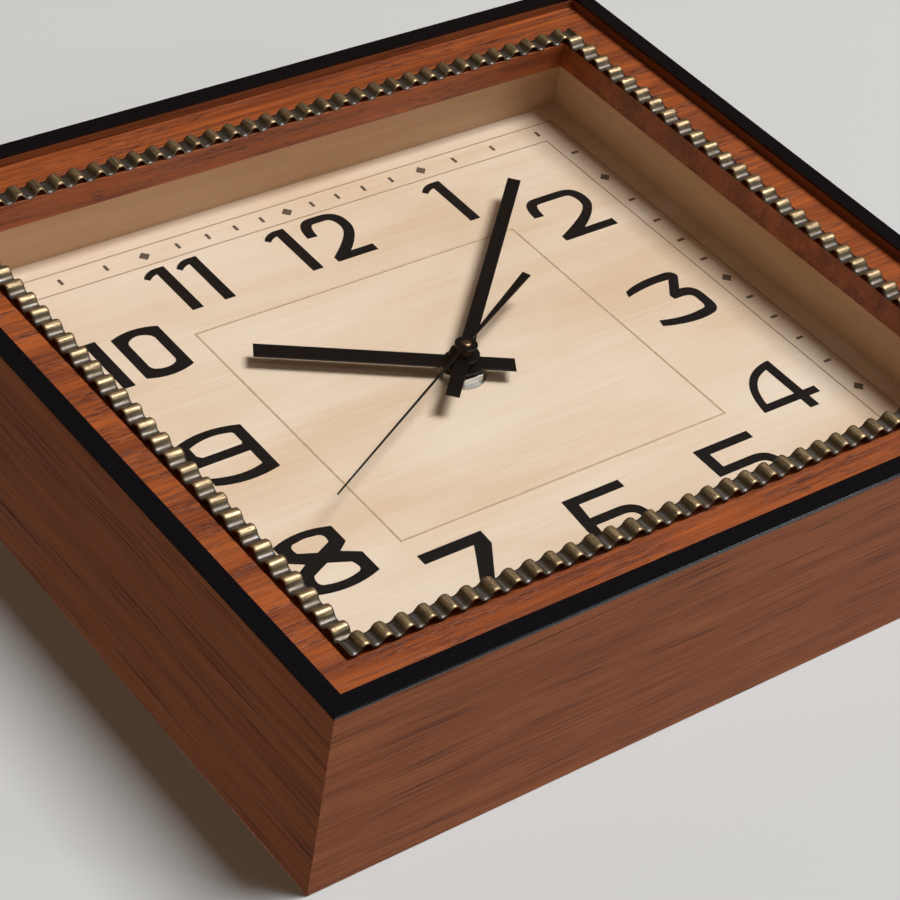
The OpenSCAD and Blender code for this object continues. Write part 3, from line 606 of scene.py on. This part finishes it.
def front_panel():
    """Veneered panel with a narrow dark groove round the outside of the ribbons."""
    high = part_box("front_panel")[1]
    ribbon_low, ribbon_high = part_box("bottom_brass_ribbon")
    ribbon_width = ribbon_high.z - ribbon_low.z
    window = Vector((ribbon_high.x - ribbon_width, 0, DIAL_HEIGHT - ribbon_high.z))
    outside = Vector((high.x, 0, high.z - DIAL_HEIGHT))
    ribbon_edge = window + Vector((ribbon_width, 0, ribbon_width))

    def beside_ribbon(distance):
        return ribbon_edge + Vector((distance, 0, distance))

    floor = PANEL_FACE + GROOVE_DEPTH
    profile = [(window, high.y), (window, PANEL_FACE), (beside_ribbon(-GROOVE_UNDER), PANEL_FACE),
               (beside_ribbon(-GROOVE_UNDER), floor), (beside_ribbon(GROOVE_BESIDE), floor),
               (beside_ribbon(GROOVE_BESIDE), PANEL_FACE), (outside, PANEL_FACE), (outside, high.y)]
    shape = bmesh.new()
    loops = [[shape.verts.new((across * reach.x, depth, DIAL_HEIGHT + up * reach.z))
              for across, up in ((-1, -1), (1, -1), (1, 1), (-1, 1))] for reach, depth in profile]
    for inner, outer in zip(loops, loops[1:] + loops[:1]):
        for corner in range(4):
            shape.faces.new((inner[corner], inner[corner - 1], outer[corner - 1], outer[corner]))
    bmesh.ops.recalc_face_normals(shape, faces=shape.faces)
    round_arrises(shape, PANEL_ARRIS, steps=2, smallest_turn=ROUND_TURN, chosen=on_panel_face)
    mesh = as_mesh(shape, "veneered_panel")
    new_piece("veneered_panel", mesh, "panel", "front_panel")
    keep_flats_flat(mesh)


# ---- Brass ribbon ----

WAVE_PITCH = 6.3 * MM
SHEET = 0.4 * MM
POINTS_PER_WAVE = 32
EDGE_CURL = 0.22 * MM
CURL_REACH = 0.7 * MM
SECTION_POINTS = 28
SECTION_SQUARENESS = 0.3


def ribbon_tree():
    """Geometry nodes of one ribbon: a thin curled section swept along a line bent into waves."""
    tree = bpy.data.node_groups.new("brass_ribbon", "GeometryNodeTree")
    tree.interface.new_socket("Geometry", in_out="OUTPUT", socket_type="NodeSocketGeometry")
    for name in ("Length", "Pitch", "Rise", "Sheet", "Width", "Phase", "Bend", "Curl"):
        tree.interface.new_socket(name, in_out="INPUT", socket_type="NodeSocketFloat")
    tree.interface.new_socket("Points", in_out="INPUT", socket_type="NodeSocketInt")
    tree.interface.new_socket("Metal", in_out="INPUT", socket_type="NodeSocketMaterial")
    given = tree.nodes.new("NodeGroupInput").outputs

    def is_at(axis):
        spot = tree.nodes.new("GeometryNodeInputPosition").outputs[0]
        return add(tree, "ShaderNodeSeparateXYZ", {"Vector": spot}).outputs[axis]

    def total(operation, *values):
        result = values[0]
        for value in values[1:]:
            result = calculate(tree, operation, result, value)
        return result

    end = add(tree, "ShaderNodeCombineXYZ", {"X": given["Length"]}).outputs[0]
    line = add(tree, "GeometryNodeCurvePrimitiveLine", {"End": end}).outputs[0]
    points = add(tree, "GeometryNodeResampleCurve",
                 {"Curve": line, "Count": given["Points"]}).outputs[0]
    past_crest = total("SUBTRACT", is_at("X"), given["Phase"])
    turn = total("MULTIPLY", total("DIVIDE", past_crest, given["Pitch"]), math.tau)
    from_top = total("MULTIPLY", calculate(tree, "ARCSINE", calculate(tree, "SINE", turn)),
                     total("DIVIDE", given["Pitch"], math.tau))
    half_rise = total("MULTIPLY", total("SUBTRACT", given["Rise"], given["Sheet"]), 0.5)
    arc = calculate(tree, "SQRT", total("SUBTRACT", total("MULTIPLY", given["Bend"], given["Bend"]),
                                        total("MULTIPLY", from_top, from_top)))
    swing = total("MULTIPLY", calculate(tree, "SIGN", calculate(tree, "COSINE", turn)),
                  total("ADD", total("SUBTRACT", arc, given["Bend"]), half_rise))
    height = total("ADD", swing, total("MULTIPLY", given["Rise"], 0.5))
    lifted = add(tree, "GeometryNodeSetPosition", {"Geometry": points,
        "Offset": add(tree, "ShaderNodeCombineXYZ", {"Z": height}).outputs[0]}).outputs[0]
    upright = add(tree, "GeometryNodeSetCurveNormal", {"Curve": lifted}, mode="Z_UP").outputs[0]

    ring = add(tree, "GeometryNodeCurvePrimitiveCircle",
               {"Resolution": SECTION_POINTS, "Radius": 1.0}).outputs[0]

    def squared(value, size):
        flat = calculate(tree, "POWER", calculate(tree, "ABSOLUTE", value), SECTION_SQUARENESS)
        return total("MULTIPLY", calculate(tree, "SIGN", value), flat, size, 0.5)

    across = squared(is_at("X"), given["Width"])
    beyond = calculate(tree, "MAXIMUM", 0.0, total("SUBTRACT", calculate(tree, "ABSOLUTE", across),
        total("SUBTRACT", total("MULTIPLY", given["Width"], 0.5), CURL_REACH)))
    share = total("DIVIDE", beyond, CURL_REACH)
    curl = total("MULTIPLY", share, share, given["Curl"])
    section = add(tree, "GeometryNodeSetPosition", {"Geometry": ring, "Position":
        add(tree, "ShaderNodeCombineXYZ", {"X": across,
            "Y": total("ADD", squared(is_at("Y"), given["Sheet"]), curl)}).outputs[0]}).outputs[0]
    swept = add(tree, "GeometryNodeCurveToMesh", {"Curve": upright, "Profile Curve": section,
        "Fill Caps": True}).outputs[0]
    real = add(tree, "GeometryNodeRealizeInstances", {"Geometry": swept}).outputs[0]
    coated = add(tree, "GeometryNodeSetMaterial",
                 {"Geometry": real, "Material": given["Metal"]}).outputs[0]
    add(tree, "NodeGroupOutput", {"Geometry": coated})
    return tree


def grown_mesh(tree, name, values):
    """The mesh that a geometry tree makes from the given input values."""
    seed = bpy.data.objects.new(name + "_seed", bpy.data.meshes.new(name + "_seed"))
    bpy.context.collection.objects.link(seed)
    modifier = seed.modifiers.new("grown", "NODES")
    modifier.node_group = tree
    for item in tree.interface.items_tree:
        if item.in_out == "INPUT" and item.name in values:
            modifier[item.identifier] = values[item.name]
    ready = seed.evaluated_get(bpy.context.evaluated_depsgraph_get())
    mesh = bpy.data.meshes.new_from_object(ready)
    mesh.name = name
    seed.modifiers.remove(modifier)
    bpy.data.objects.remove(seed)
    return mesh


def facing_out(mesh):
    """Makes sure a closed mesh's faces point outwards."""
    shape = bmesh.new()
    shape.from_mesh(mesh)
    bmesh.ops.recalc_face_normals(shape, faces=shape.faces)
    shape.to_mesh(mesh)
    shape.free()


def bend_radius():
    """Radius of the round bends that give the wave its height within its pitch."""
    quarter = WAVE_PITCH / 4
    half_rise = (RIBBON_RISE - SHEET) / 2
    return (quarter ** 2 + half_rise ** 2) / (2 * half_rise)


def crest_place(side, length):
    """Where one crest of the waves lies along a ribbon, as the photograph has it."""
    if side == "right":
        return WAVE_PITCH / 2
    if side == "left":
        return length - WAVE_PITCH / 2
    return (length + WAVE_PITCH) / 2


def brass_ribbons():
    """Four ribbons on the panel's face, waves rising towards the front."""
    tree = ribbon_tree()
    panel_middle = middle("front_panel")
    for side, turn in (("bottom", 0), ("right", 90), ("top", 180), ("left", 270)):
        node = side + "_brass_ribbon"
        low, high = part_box(node)
        level = side in ("bottom", "top")
        length = (high.x - low.x) if level else (high.z - low.z)
        width = (high.z - low.z) if level else (high.x - low.x)
        metal = "ribbon_level" if level else "ribbon_upright"
        mesh = grown_mesh(tree, side + "_ribbon", {"Length": length, "Pitch": WAVE_PITCH,
            "Rise": RIBBON_RISE, "Sheet": SHEET, "Width": width,
            "Phase": crest_place(side, length),
            "Points": round(length / WAVE_PITCH * POINTS_PER_WAVE) + 1, "Bend": bend_radius(),
            "Curl": EDGE_CURL, "Metal": FINISH[metal]})
        outwards = Vector((math.sin(math.radians(turn)), 0, -math.cos(math.radians(turn))))
        reach = (middle(node) - panel_middle).dot(outwards)
        mesh.transform(Matrix.Translation((-length / 2, -reach, 0)))
        standing = Matrix.Rotation(math.radians(90), 4, "X")
        mesh.transform(Matrix.Translation((0, PANEL_FACE, DIAL_HEIGHT))
                       @ Matrix.Rotation(math.radians(-turn), 4, "Y") @ standing)
        facing_out(mesh)
        new_piece(side + "_ribbon", mesh, metal, node, ROUND_TURN)


# ---- Hands and hub ----

HAND_ARRIS = 0.1 * MM
NUT_ARRIS = 0.22 * MM
CAP_SINKS = 0.05 * MM
# Rise and radius of each step of the cap's dome
CAP_OUTLINE = ((0.12 * MM, 1.45 * MM), (0.34 * MM, 1.15 * MM), (0.46 * MM, 0.65 * MM),
               (0.5 * MM, 0))
CAP_STEPS = 96


def hands():
    """Stamped hands with a softly rolled top edge."""
    for node in ("hour_hand", "minute_hand", "second_hand"):
        eased(node, node + "_lacquered", "hands", HAND_ARRIS, steps=2, smallest_turn=40)


def hub_cap():
    """Small domed cap over the end of the second hand's arbor."""
    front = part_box("second_hand")[0].y
    seat = [(front + CAP_SINKS, 0), (front + CAP_SINKS, CAP_OUTLINE[0][1])]
    dome = [(front - rise, radius) for rise, radius in CAP_OUTLINE]
    mesh = as_mesh(lathe(seat + dome, CAP_STEPS), "hub_cap")
    mesh.transform(Matrix.Translation((0, 0, DIAL_HEIGHT)))
    new_piece("hub_cap", mesh, "bronze", "second_hand", ROUND_TURN)


def centre_nut():
    """Hexagonal nut with its corners turned off."""
    eased("centre_nut", "hexagon_nut", "steel", NUT_ARRIS, smallest_turn=40)


# ---- Back ----

# Each piece's name, its finish, how far its arrises are rounded and the least turn of an arris
BACK_PIECES = {
    "back_board": ("plain_back_board", "back", 0.2 * MM, 28),
    "movement_case": ("movement_housing", "movement", 0.25 * MM, 60),
    "movement_cover": ("movement_lid", "movement", 0.25 * MM, 60),
    "setting_knob": ("fluted_knob", "movement", 0.12 * MM, 60),
    "back_screws": ("cross_head_screws", "steel", 0.1 * MM, 50),
    "battery": ("round_cell", "jacket", 0.15 * MM, 30),
}


def back_of_case():
    """Back board, movement housing, knob, screws and battery as they look from behind."""
    for node, (name, finish, width, turn) in BACK_PIECES.items():
        eased(node, name, finish, width, steps=2, smallest_turn=turn)


case_boards()
black_edging()
front_panel()
brass_ribbons()
hands()
hub_cap()
centre_nut()
back_of_case()

# ---- Stage and light ----

TABLE_SPREAD = 12.0
TABLE_TONE = paint(197, 200, 201)
FLOOR_TONE = paint(222, 222, 221)
FADE_FROM, FADE_TO = 0.35, 2.2
BACKDROP_REACH = 9.0
BACKDROP_GLOW = (0.50, 0.50, 0.495, 1.0)


def one_sided(name, tone, far_glow=0.0):
    """Matt pale paper, seen from its front only; far off it can fade into the backdrop's glow."""
    material, tree = start_material(name)
    mottle = noise(tree, stretched(tree, (3, 3, 3)), detail=3)
    mottled = blend(tree, spread(tree, mottle, 0.3, 0.7), tone, dimmed(tone, 0.97))
    paper = add(tree, "ShaderNodeBsdfDiffuse", {"Color": mottled}).outputs[0]
    away = add(tree, "ShaderNodeVectorMath", {0: object_place(tree)},
               operation="LENGTH").outputs["Value"]
    glow = add(tree, "ShaderNodeEmission", {"Color": BACKDROP_GLOW}).outputs[0]
    fade = spread(tree, away, FADE_FROM, FADE_TO, 0.0, far_glow)
    faded = add(tree, "ShaderNodeMixShader", {0: fade, 1: paper, 2: glow}).outputs[0]
    gone = add(tree, "ShaderNodeBsdfTransparent").outputs[0]
    behind = add(tree, "ShaderNodeNewGeometry").outputs["Backfacing"]
    end_material(tree, add(tree, "ShaderNodeMixShader", {0: behind, 1: faded, 2: gone}).outputs[0])
    return material


def put_on_stage(name, mesh, material):
    """Stage scenery that only the camera sees: it neither lights nor shades the clock."""
    mesh.materials.append(material)
    scenery = bpy.data.objects.new(name, mesh)
    bpy.context.collection.objects.link(scenery)
    scenery.visible_diffuse = False
    scenery.visible_glossy = False
    scenery.visible_transmission = False
    scenery.visible_shadow = False


def stage_sheet(name, corners, material):
    """A plain flat sheet."""
    mesh = bpy.data.meshes.new(name)
    mesh.from_pydata(corners, [], [(0, 1, 2, 3)])
    put_on_stage(name, mesh, material)


def backdrop():
    """A wide pale dome round the stage."""
    material, tree = start_material("backdrop")
    end_material(tree, add(tree, "ShaderNodeEmission", {"Color": BACKDROP_GLOW}).outputs[0])
    shape = bmesh.new()
    bmesh.ops.create_icosphere(shape, subdivisions=4, radius=BACKDROP_REACH)
    put_on_stage("backdrop", as_mesh(shape, "backdrop"), material)


def stage():
    """The table the clock lies on in the main view, and the floor it stands on in the others."""
    far = TABLE_SPREAD
    behind, under = CASE_HIGH.y, CASE_LOW.z
    corners = ((-far, -far), (far, -far), (far, far), (-far, far))
    stage_sheet("table", [(x, behind, z) for x, z in corners],
                one_sided("table_paper", TABLE_TONE))
    stage_sheet("floor", [(x, y, under) for x, y in corners],
                one_sided("floor_paper", FLOOR_TONE, far_glow=1.0))
    backdrop()


def soft_light(name, away, size, power, tone):
    """A rectangular soft light that faces the heart of the clock, its width level."""
    data = bpy.data.lights.new(name, "AREA")
    data.shape = "RECTANGLE"
    data.size, data.size_y = size
    data.energy = power
    data.color = tone
    lamp = bpy.data.objects.new(name, data)
    lamp.visible_camera = False
    bpy.context.collection.objects.link(lamp)
    lamp.location = Vector((0, 0, DIAL_HEIGHT)) + away
    lamp.rotation_euler = (-away).to_track_quat("-Z", "Y").to_euler()


WINDOW_AWAY = 7.0
WINDOW_SIDE = Vector((0.375, -0.915, -0.146))
# Where each lamp stands from the heart of the clock, its width and height, its watts and its tone.
# The window is wide and far off, to the right and a little below; the weaker lamps stand near.
LAMPS = {
    "main_light": (WINDOW_SIDE * WINDOW_AWAY, (3.3, 1.8), 540, (1.0, 0.985, 0.97)),
    "low_light": (Vector((0.75, 0.10, -1.25)), (0.9, 0.6), 5.6, (1.0, 0.96, 0.91)),
    "bevel_light": (Vector((0.58, -0.57, -0.74)), (0.24, 0.08), 1.0, (0.80, 0.91, 1.0)),
    "left_light": (Vector((-1.15, 0.32, -0.48)), (0.5, 0.5), 3.2, (1.0, 0.93, 0.86)),
    "top_light": (Vector((0.75, 0.50, 1.20)), (0.7, 0.7), 6, (0.86, 0.93, 1.0)),
    "back_light": (Vector((0.3, 1.6, 0.5)), (0.8, 0.8), 10, (1.0, 1.0, 1.0)),
}
ROOM_LEFT = (0.165, 0.126, 0.088, 1.0)
ROOM_RIGHT = (0.095, 0.050, 0.023, 1.0)
TABLE_RIGHT = (0.56, 0.56, 0.57, 1.0)
TABLE_LEFT = (0.10, 0.092, 0.08, 1.0)


def room_light():
    """Dim warm room in front, light thrown back by the pale table behind, darker at the left."""
    world = bpy.data.worlds.new("room")
    bpy.context.scene.world = world
    world.use_nodes = True
    tree = world.node_tree
    tree.nodes.clear()
    facing = add(tree, "ShaderNodeTexCoord").outputs["Generated"]
    way = add(tree, "ShaderNodeSeparateXYZ", {"Vector": facing}).outputs
    room = blend(tree, spread(tree, way["X"], -0.4, 0.3), ROOM_LEFT, ROOM_RIGHT)
    table = blend(tree, spread(tree, way["X"], 0.1, -0.4), TABLE_RIGHT, TABLE_LEFT)
    colour = blend(tree, spread(tree, way["Y"], -0.05, 0.25), room, table)
    glow = add(tree, "ShaderNodeBackground", {"Color": colour, "Strength": 1.0}).outputs[0]
    add(tree, "ShaderNodeOutputWorld", {"Surface": glow})


def lights():
    """All the lamps, and the room's own dim light."""
    for name, (away, size, power, tone) in LAMPS.items():
        soft_light(name, away, size, power, tone)
    room_light()


stage()
lights()
bpy.context.scene.view_settings.view_transform = "Standard"
